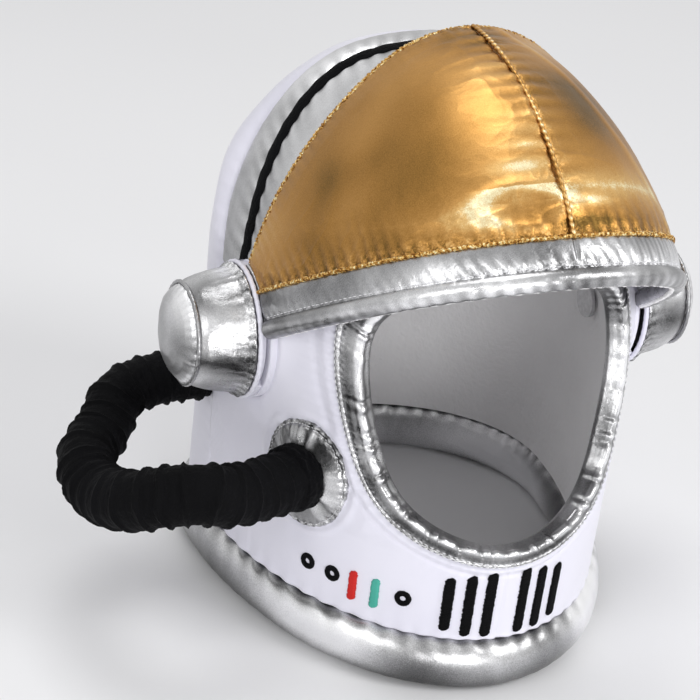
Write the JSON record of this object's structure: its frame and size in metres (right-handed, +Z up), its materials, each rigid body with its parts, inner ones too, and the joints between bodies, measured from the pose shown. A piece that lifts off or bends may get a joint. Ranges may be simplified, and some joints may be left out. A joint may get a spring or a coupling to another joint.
{
  "type": "child's soft astronaut costume helmet",
  "caption": "A child's soft space costume helmet in white satin, with a gold tilting visor, silver ear cups, a ribbed breathing hose and a padded neck roll.",
  "frame": {"origin": "the middle of the neck roll's flat foot, on the helmet's own middle plane", "axes": "+Z up through the top of the helmet, -Y the way the face looks, +X the wearer's left"},
  "size_m": [0.3066, 0.2463, 0.2754],
  "materials": {
    "white_satin": "white satin with a soft sheen and slight puckers at the seams",
    "fleece_lining": "matt off-white brushed fleece",
    "padding_foam": "cream open-cell foam wadding, out of sight",
    "silver_lame": "silver metallic woven cloth with fine creases",
    "pearl_satin": "pearly silver-white satin",
    "black_velvet": "deep black short-pile velvet and thread",
    "gold_lame": "gold metallic woven cloth with pale highlights",
    "red_thread": "red satin-stitch embroidery",
    "teal_thread": "teal satin-stitch embroidery",
    "elastic": "off-white braided elastic inside the hem",
    "steel": "nickel-plated pressed steel"
  },
  "bodies": {
    "helmet_shell": {"rear_panel_left": "white_satin", "rear_panel_right": "white_satin", "cheek_panel_left": "white_satin", "cheek_panel_right": "white_satin", "ear_cup_piping_left": "white_satin", "ear_cup_piping_right": "white_satin", "lining_left": "fleece_lining", "lining_right": "fleece_lining", "front_foam": "padding_foam", "rear_foam": "padding_foam", "neck_roll_foam": "padding_foam", "ear_backing_pad_left": "padding_foam", "ear_backing_pad_right": "padding_foam", "ear_cup_pad_left": "padding_foam", "ear_cup_pad_right": "padding_foam", "ear_cup_filling_left": "padding_foam", "ear_cup_filling_right": "padding_foam", "head_band": "silver_lame", "face_binding": "silver_lame", "ear_cup_drum_left": "silver_lame", "ear_cup_drum_right": "silver_lame", "ear_cup_seam_cord_left": "silver_lame", "ear_cup_seam_cord_right": "silver_lame", "hose_patch": "silver_lame", "neck_roll_cover": "silver_lame", "ear_cup_cap_left": "pearl_satin", "ear_cup_cap_right": "pearl_satin", "band_stripe": "black_velvet", "hose_sleeve": "black_velvet", "hose_front_cuff": "black_velvet", "hose_rear_cuff": "black_velvet", "cheek_rings": "black_velvet", "vent_bars_left": "black_velvet", "vent_bars_right": "black_velvet", "red_bar": "red_thread", "teal_bar": "teal_thread", "face_elastic": "elastic", "pivot_stud_left": "steel", "pivot_stud_right": "steel"},
    "visor": {"visor_panel_left": "gold_lame", "visor_panel_right": "gold_lame", "brim_band_left": "silver_lame", "brim_band_right": "silver_lame", "visor_foam": "padding_foam", "visor_lining": "fleece_lining", "brim_roll": "silver_lame", "brim_roll_core": "padding_foam", "visor_boundary_cord": "gold_lame", "visor_centre_cord": "gold_lame", "visor_rear_cord": "gold_lame", "visor_ear_tab_left": "silver_lame", "visor_ear_tab_right": "silver_lame", "visor_eyelet_left": "steel", "visor_eyelet_right": "steel"}
  },
  "joints": [
    {"name": "visor_tilt", "type": "hinge", "parent": "helmet_shell", "child": "visor", "pos_m": [0, 0, 0.1327], "axis": [1, 0, 0], "range_deg": [0, 55]}
  ]
}
